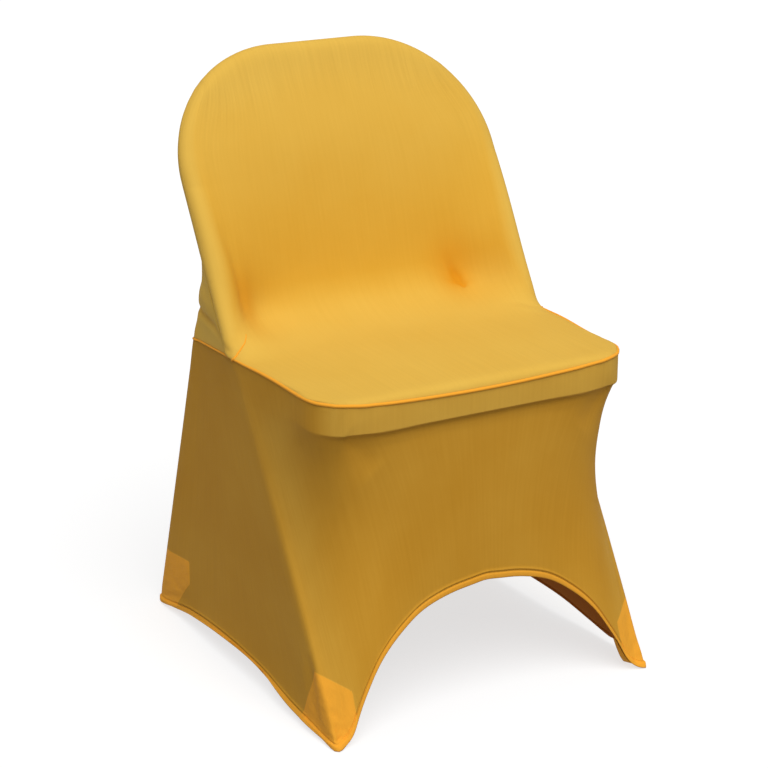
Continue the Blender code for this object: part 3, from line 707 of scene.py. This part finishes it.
def makeSkirt():
    form = skirtForm
    panel = fineSkirt(nets["skirt"])
    row, side, hem = panel["row"], np.abs(panel["col"]), panel["hem"]
    legs = np.maximum(*(peak(side, edge, form["legReach"]) for edge in (ridgeCol, edgeCol)))
    onBand = 1 - softStep(side, *form["bandEnds"])
    start, end = (blend(top, low, onBand) for top, low in zip(form["topRim"], form["bandRim"]))
    inside = softStep(row, start, end) * softStep(hem, *form["hemRim"]) * (1 - form["legHold"] * legs)
    soften(panel, inside, form["rounds"])
    atTop = softStep(row, *form["alongTop"]) * (1 - softStep(row, *form["alongLow"]))
    atHem = (1 - softStep(hem, *form["alongHem"])) * (1 - legs)
    softenAlong(panel, atTop * (1 - softStep(side, *form["alongEnds"])) + atHem, form["alongRounds"])
    patch = patchField(panel)
    relief, deep = foldRelief(panel, form["folds"])
    raiseBy(panel, relief + hemRelief(hem, patch))
    # stretched cloth and painted light: paler beside the leg ridges and on the lit band
    corner = peak(side - ridgeCol, *form["cornerCols"]) * softStep(row, *form["cornerRows"])
    lit = (1 - softStep(row, *form["bandEdge"])) * (1 - softStep(side, *form["bandPaleEnds"]))
    panel["layers"] = {
        "pale": np.maximum(form["pale"] + form["cornerPaleAndLit"] * corner, form["bandPaleAndLit"] * lit),
        "warmToneAndShade": np.clip(deep * form["shadePerFoldDepth"], 0, form["mostFoldShade"]), "hem": hem, "patch": patch,
        "ripple": np.full(hem.shape, form["ripple"]),
    }
    return panel


def addPanel(name, panel, turned=False):
    # a grid of quads at the panel's points, with its own UV in metres of cloth and a number for each layer
    way = slice(None, None, -1 if turned else 1)
    points, u, v = (panel[key][:, way] for key in ("points", "u", "v"))
    rows, cols = points.shape[0] - 1, points.shape[1] - 1
    shape = bmesh.new()
    uv = shape.loops.layers.uv.new("knit")
    for key in panel["layers"]:
        shape.verts.layers.float.new(key)
    stored = [(shape.verts.layers.float[key], values[:, way]) for key, values in panel["layers"].items()]
    for vert, col, row in gridPoints(shape, cols, rows):
        vert.co = points[row, col]
        for layer, values in stored:
            vert[layer] = values[row, col]
        for loop in vert.link_loops:
            loop[uv].uv = u[row, col], -v[row, col]
    if panel["closed"]:
        bmesh.ops.remove_doubles(shape, verts=shape.verts, dist=skirtForm["meet"])
    return meshObject(name, shape)


def placed(name, data):
    obj = bpy.data.objects.new(name, data)
    bpy.context.scene.collection.objects.link(obj)
    return obj


def meshObject(name, shape):
    mesh = bpy.data.meshes.new(name)
    shape.to_mesh(mesh)
    shape.free()
    mesh.shade_smooth()
    return placed(name, mesh)


# The second layer of cloth in each corner: where the corner is, its reach across and along the side, and its
# height.
pocketForm = {
    "front": ((0.2455, -0.240), 0.042, 0.045, 0.090), "rear": ((0.233, 0.303), 0.042, 0.065, 0.075),
    "columns": 36, "rows": 28, "soleRows": 4, "sole": (0.006, 0.016), "soleRow": 0.003, "low": 0.005,
    "lift": 0.002, "clear": 0.0037, "step": 0.0002,
}


def skirtSurface():
    shape = bmesh.new()
    shape.from_mesh(skirtCloth.data)
    tree = BVHTree.FromBMesh(shape)
    shape.free()
    return tree


def addPocket(name, foot, side):
    # from the sole up, on rays from a centre inside the corner to the skirt
    form, hanging = pocketForm, cloth["hanging"]
    (tipX, tipY), cross, sideReach, height = form[foot]
    towards = -1 if foot == "front" else 1
    centre = Vector((side * (tipX - cross), tipY - towards * sideReach, 0.0)) - hanging
    shape = bmesh.new()
    uv = shape.loops.layers.uv.new("knit")

    def against(way, level):
        met = skirtTree.ray_cast(Vector((centre.x, centre.y, level - hanging.z)), way)[0]
        while met is not None and skirtTree.find_nearest(met)[3] < form["clear"]:
            met = met - way * form["step"]
        return met

    lows = {}
    for vert, col, fromTop in gridPoints(shape, form["columns"], form["rows"]):
        share, row = col / form["columns"], form["rows"] - form["soleRows"] - fromTop
        turn = share * math.pi / 2
        way = Vector((side * math.cos(turn) * cross, towards * math.sin(turn) * sideReach, 0.0)).normalized()
        if share not in lows:
            lows[share] = form["low"]
            while against(way, lows[share]) is None:
                lows[share] += form["step"]
        up = blend(lows[share] + form["lift"], height, max(row, 0) / (form["rows"] - form["soleRows"]))
        vert.co = against(way, up)
        if row < 0:
            vert.co -= way * blend(*form["sole"], math.sin(2 * turn)) * -row / form["soleRows"]
        for loop in vert.link_loops:
            loop[uv].uv = share * (cross + sideReach), up + row * form["soleRow"]
    bmesh.ops.recalc_face_normals(shape, faces=shape.faces)
    face = max(shape.faces, key=lambda face: face.calc_center_median().z)
    if face.normal.dot(face.calc_center_median() - centre) < 0:
        bmesh.ops.reverse_faces(shape, faces=shape.faces)
    return meshObject(name, shape)


seamForm = {
    "level": 0.0022, "back": 0.0010, "dart": 0.0017, "roundness": 2,
    "behind": 0.65, "behindCols": (across + 5, ridgeCol + 1),  # how thin the level seam is at the rear
    "leftDart": ((9.0, 19.2), (9.45, 19.65), (10.0, 19.95), (10.7, 20.15), (11.6, 20.3), (13.0, 20.35)),
    "rightDart": ((10.8, 20.45), (11.6, 20.45), (12.3, 20.4), (13.0, 20.35)),  # only its outer end shows
    "dartPoints": 40, "dartRounds": 6, "dartEnds": (0.35, 1.2),
}


def addSeam(name, points, radius, shares=None, closed=False):
    # a thin raised edge along the points, made a mesh
    curve = bpy.data.curves.new(name, "CURVE")
    curve.dimensions = "3D"
    curve.bevel_depth = radius
    curve.bevel_resolution = seamForm["roundness"]
    curve.use_fill_caps = not closed
    spline = curve.splines.new("POLY")
    spline.points.add(len(points) - 1)
    for index, point in enumerate(spline.points):
        point.co = (*points[index], 1.0)
        point.radius = 1.0 if shares is None else shares[index]
    spline.use_cyclic_u = closed
    guide = placed(name + "_guide", curve)
    mesh = bpy.data.meshes.new_from_object(guide.evaluated_get(bpy.context.evaluated_depsgraph_get()))
    bpy.data.objects.remove(guide)
    mesh.name = name
    mesh.shade_smooth()
    return placed(name, mesh)


def addDart(word, side, front):
    places = np.array(seamForm[word + "Dart"])
    path = smoothLine(places, np.linspace(0, len(places) - 1, seamForm["dartPoints"]))
    cols = [np.argmin(np.abs(front["col"][0] - side * col)) for col, row in path]
    rows = [np.argmin(np.abs(front["row"][:, 0] - row)) for col, row in path]
    line = front["points"][rows, cols]
    for _ in range(seamForm["dartRounds"]):
        line[1:-1] = (line[:-2] + 2 * line[1:-1] + line[2:]) / 4
    return addSeam("dart_" + word, line, seamForm["dart"], np.linspace(*seamForm["dartEnds"], len(line)))


def addSeams(front, back, skirt):
    level, cols = skirt["points"][0, :-1], np.abs(skirt["col"][0, :-1])
    shares = blend(1, seamForm["behind"], softStep(cols, *seamForm["behindCols"]))
    border = np.concatenate([back["points"][::-1, 0], back["points"][0, 1:], back["points"][1:, -1]])
    return [addSeam("level_seam", level, seamForm["level"], shares, closed=True),
            addSeam("back_seam", border, seamForm["back"]),
            *(addDart(word, side, front) for side, word in sides)]


class Shade:
    # a value in a material's nodes, worked with like a number
    def __init__(self, tree, output=None):
        self.tree, self.output = tree, output

    def node(self, kind, settings, inputs, result=0):
        made = self.tree.nodes.new(kind)
        for name, value in settings.items():
            setattr(made, name, value)
        for name, value in inputs.items():
            if isinstance(value, Shade):
                self.tree.links.new(value.output, made.inputs[name])
            else:
                made.inputs[name].default_value = value
        return Shade(self.tree, made.outputs[result])

    def maths(self, operation, *values):
        return self.node("ShaderNodeMath", {"operation": operation}, dict(enumerate(values)))

    def __add__(self, other):
        return self.maths("ADD", self, other)

    def __sub__(self, other):
        return self.maths("SUBTRACT", self, other)

    def __rsub__(self, other):
        return self.maths("SUBTRACT", other, self)

    def __mul__(self, other):
        return self.maths("MULTIPLY", self, other)

    __radd__ = __add__
    __rmul__ = __mul__

    def wave(self, pitch):
        # from 0 to 1 and back over each pitch
        return self.maths("SINE", self * (2 * math.pi / pitch)) * 0.5 + 0.5

    def step(self, start, end):
        settings = {"interpolation_type": "SMOOTHSTEP"}
        return self.node("ShaderNodeMapRange", settings, {"Value": self, "From Min": start, "From Max": end})

    def peak(self, centre, width):
        return (self - centre).maths("ABSOLUTE").step(width, 0.0)

    def between(self, low, high):
        # the first colour where this is 0, the second where it is 1: a Mix node's sockets 6 and 7
        return self.node("ShaderNodeMix", {"data_type": "RGBA"}, {0: self, 6: low, 7: high}, 2)


knit = {
    # pale: the colour of stretched cloth and painted light on lit faces; warm: painted shade in folds, pinch
    # hollows and patch rims, and a random tone on the plain cloths
    "pale": (0.727, 0.457, 0.080, 1.0), "gold": (0.705, 0.360, 0.027, 1.0), "warmToneAndShade": (0.70, 0.285, 0.011, 1.0),
    # line: a darker red, painted shade in the hem's stitched groove
    "bright": (0.90, 0.385, 0.032, 1.0), "line": (0.46, 0.17, 0.010, 1.0),
    # skirt gold: a darker copy of the panels' gold, painted shade on the skirt's upright faces; inside: a
    # red-brown copy, painted shade on the cloth's inner face
    "shadedSkirtGold": (0.515, 0.237, 0.014, 1.0), "inside": (0.46, 0.135, 0.006, 1.0),
    # palest gold: a copy of the pale gold of the lit, stretched faces, painted light on the back seam
    "litPalestGold": (0.68, 0.42, 0.065, 1.0),
    # each noise's number to a metre across and along, its detail, and its place
    "streaks": (1 / 0.0036, 9, 1.0, 0.0), "cloud": (9, 9, 3.0, 7.0), "wander": (30, 30, 1.0, 11.0),
    "crease": (70, 70, 2.0, 17.0),
    "wale": 0.00105, "course": 0.00085, "lean": 0.00085 / 3, "stitch": 0.0032,
    "tone": 0.99, "streakTone": 0.045, "cloudTone": 0.05, "waleTone": 0.02, "rippleTone": 0.085,
    "paleRange": (-0.25, 1.25), "cloudRange": (0.0, 2.0), "paleCloud": 0.35, "paleStreaks": 0.12,
    "relief": 0.00012, "waleHeight": 0.6, "courseHeight": 0.4, "rippleHeight": 2.2,
    "roughness": 0.80, "streakRoughness": 0.10,
    "allOver": {"Sheen Weight": 0.03, "Sheen Roughness": 0.45, "Sheen Tint": (1.0, 0.62, 0.16, 1.0),
                "Specular IOR Level": 0.07},
}
hemFinish = {
    "patchEdge": (-0.0012, 0.0016), "patchBright": 0.74, "patchCloud": 0.7, "patchHeight": 4.0,
    # painted shade: darker in the stitched groove, deeper orange along a patch's rim
    "bandBright": 0.62, "ridgeWidth": 0.0020, "ridgeBright": 0.6, "groove": 0.0017, "grooveShade": 0.55,
    "grooveHidden": 0.7, "rim": (0.0014, 0.0018), "rimShade": 0.7,
    "stitchWidth": 0.0014, "stitchDepth": 3.0, "creaseHeight": 12.0, "creaseFade": (0.0, 0.012),
}


def newMaterial(name, finish):
    # with what is the same all over set on the shader's own sockets
    material = bpy.data.materials.new(name)
    material.use_nodes = True
    shader = material.node_tree.nodes["Principled BSDF"]
    for socket, value in finish.items():
        shader.inputs[socket].default_value = value
    return material, material.node_tree, shader


def hemColour(colour, hem, patch, cloud):
    # brighter on patches, the hem's band and its ridge, with painted shade dark in the stitched groove and
    # deeper orange at a patch's rim
    form = hemFinish
    inside = patch.step(*form["patchEdge"])
    colour = (inside * (cloud * form["patchCloud"] + form["patchBright"])).between(colour, knit["bright"])
    band = hem.step(hemForm["groove"], hemForm["band"])
    colour = (band * form["bandBright"]).between(colour, knit["bright"])
    ridge = hem.peak(hemForm["ridge"], form["ridgeWidth"])
    colour = (ridge * form["ridgeBright"]).between(colour, knit["bright"])
    groove = hem.peak(hemForm["groove"], form["groove"]) * (1.0 - inside * form["grooveHidden"])
    colour = (groove * form["grooveShade"]).between(colour, knit["line"])
    return (patch.peak(*form["rim"]) * form["rimShade"]).between(colour, knit["warmToneAndShade"])


def clothMaterial(name, seed, gold, layers=()):
    # knit with faint streaks down the cloth, paler where it is stretched and with painted light on lit faces,
    # deeper orange as painted shade in folds, brighter where it is doubled
    material, tree, shader = newMaterial(name, knit["allOver"])
    start = Shade(tree)
    place = start.node("ShaderNodeUVMap", {"uv_map": "knit"}, {})
    u, v = (place.node("ShaderNodeSeparateXYZ", {}, {"Vector": place}, axis) for axis in range(2))

    def noise(key):
        manyAcross, manyAlong, detail, offset = knit[key]
        spread = {"X": u * manyAcross, "Y": v * manyAlong, "Z": seed + offset}
        vector = start.node("ShaderNodeCombineXYZ", {}, spread)
        return start.node("ShaderNodeTexNoise", {}, {"Vector": vector, "Scale": 1.0, "Detail": detail})

    def layer(key):
        return start.node("ShaderNodeAttribute", {"attribute_name": key}, {}, 2)

    streaks, cloud = noise("streaks") - 0.5, noise("cloud") - 0.5
    wander = noise("wander") * knit["wale"]
    wales = (u + wander).wave(knit["wale"])
    courses = (v + wander + wales * knit["lean"]).wave(knit["course"])
    height = wales * knit["waleHeight"] + courses * knit["courseHeight"]
    tone = streaks * knit["streakTone"] + cloud * knit["cloudTone"] + wales * knit["waleTone"] + knit["tone"]
    if layers:
        ripple = streaks * layer("ripple")
        # painted light and shade: paler where stretched and lit, deeper orange in folds and pinch hollows
        pale = layer("pale") + cloud * knit["paleCloud"] + streaks * knit["paleStreaks"]
        colour = pale.step(*knit["paleRange"]).between(gold, knit["pale"])
        colour = layer("warmToneAndShade").between(colour, knit["warmToneAndShade"])
        tone = tone + ripple * knit["rippleTone"]
        height = height + ripple * knit["rippleHeight"]
    else:
        colour = cloud.step(*knit["cloudRange"]).between(gold, knit["warmToneAndShade"])
    if "hem" in layers:
        form, hem, patch = hemFinish, layer("hem"), layer("patch")
        colour = hemColour(colour, hem, patch, cloud)
        stitches = u.wave(knit["stitch"]) * hem.peak(hemForm["groove"], form["stitchWidth"])
        creased = noise("crease") * patch.step(*form["creaseFade"])
        raised = patch.step(*form["patchEdge"]) * form["patchHeight"] + creased * form["creaseHeight"]
        height = height - stitches * form["stitchDepth"] + raised
    colour = colour.node("ShaderNodeVectorMath", {"operation": "SCALE"}, {0: colour, "Scale": tone})
    bump = {"Height": height, "Distance": knit["relief"], "Strength": 1.0}
    roughness = streaks * knit["streakRoughness"] + knit["roughness"]
    tree.links.new(colour.output, shader.inputs["Base Color"])
    tree.links.new(roughness.output, shader.inputs["Roughness"])
    tree.links.new(start.node("ShaderNodeBump", {}, bump).output, shader.inputs["Normal"])
    return material


def dress(obj, material, node=None, inside=None):
    # a cloth gets its thickness inwards and stands for its node, and may have another material inside
    obj.data.materials.append(material)
    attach(obj, "root")
    if node:
        solid = obj.modifiers.new("thickness", "SOLIDIFY")
        solid.thickness = cloth["thickness"]
        solid.offset = -1
        if inside:
            obj.data.materials.append(inside)
            solid.material_offset = 1
        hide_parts(node)


camera = {"lens": 103.735, "place": (-1.47715, -2.72124, 0.50083), "turn": (71.9502, 0.1843, -30.4289)}
studio = {
    "sun": 2.64, "sunWay": (0.12, 0.53, -0.84), "sunAngle": 0.9, "world": 0.35, "sky": (1.0, 1.0, 1.0, 1.0),
    "floorSize": 30.0,
    "floor": {"Base Color": (0.32, 0.32, 0.32, 1.0), "Roughness": 0.9, "Emission Color": (1.0, 1.0, 1.0, 1.0),
              "Emission Strength": 0.70},
}


def addCamera():
    data = bpy.data.cameras.new("camera")
    data.lens = camera["lens"]
    obj = placed("camera", data)
    obj.location = camera["place"]
    obj.rotation_euler = [math.radians(angle) for angle in camera["turn"]]
    bpy.context.scene.camera = obj


def addStudio():
    scene = bpy.context.scene
    scene.view_settings.view_transform = "Standard"
    world = bpy.data.worlds.new("studio")
    world.use_nodes = True
    sky = world.node_tree.nodes["Background"]
    sky.inputs["Color"].default_value = studio["sky"]
    sky.inputs["Strength"].default_value = studio["world"]
    scene.world = world
    data = bpy.data.lights.new("sun", "SUN")
    data.energy = studio["sun"]
    data.angle = studio["sunAngle"]
    placed("sun", data).rotation_euler = Vector(studio["sunWay"]).to_track_quat("-Z", "Y").to_euler()


def addFloor():
    shape = bmesh.new()
    bmesh.ops.create_grid(shape, x_segments=1, y_segments=1, size=studio["floorSize"])
    bmesh.ops.translate(shape, verts=shape.verts, vec=(0.0, 0.0, -cloth["hanging"].z))
    floor = meshObject("floor", shape)
    floor.data.materials.append(newMaterial("floor", studio["floor"])[0])
    floor.visible_diffuse = False


nets = pulledNets()
print("cloth pulled tight")
front, back, skirt = makeFront(), makeBack(), makeSkirt()
frontCloth = addPanel("front_cloth", front)
backCloth = addPanel("back_cloth", back, turned=True)
skirtCloth = addPanel("skirt_cloth", skirt)
print("panels made")

skirtTree = skirtSurface()
pockets = {}
for foot in ("front", "rear"):
    for side, word in sides:
        pockets[f"{foot}_{word}"] = addPocket(f"pocket_{foot}_{word}", foot, side)
print("foot pockets made")
seams = addSeams(front, back, skirt)
print("seams made")

frontKnit = clothMaterial("front_knit", 1.0, knit["gold"], front["layers"])
backKnit = clothMaterial("back_knit", 2.0, knit["gold"], back["layers"])
# the skirt's darker gold: painted shade
skirtKnit = clothMaterial("skirt_knit", 3.0, knit["shadedSkirtGold"], skirt["layers"])
pocketKnit = clothMaterial("pocket_knit", 4.0, knit["bright"])
seamKnit = clothMaterial("seam_knit", 5.0, knit["bright"])
# the lit pale gold, for the back seam: painted light
litPaleKnit = clothMaterial("lit_pale_knit", 6.0, knit["litPalestGold"])
# a red-brown copy of the gold for the skirt's inner face: painted shade
shadedInsideKnit = clothMaterial("shaded_inside_knit", 7.0, knit["inside"])
dress(frontCloth, frontKnit, "front_panel")
dress(backCloth, backKnit, "back_panel")
dress(skirtCloth, skirtKnit, "skirt", shadedInsideKnit)
for place, pocket in pockets.items():
    dress(pocket, pocketKnit, "foot_pocket_" + place)
for seam in seams:
    dress(seam, litPaleKnit if seam.name == "back_seam" else seamKnit)
print("materials made")

addCamera()
addStudio()
addFloor()
print("camera, light and floor set")
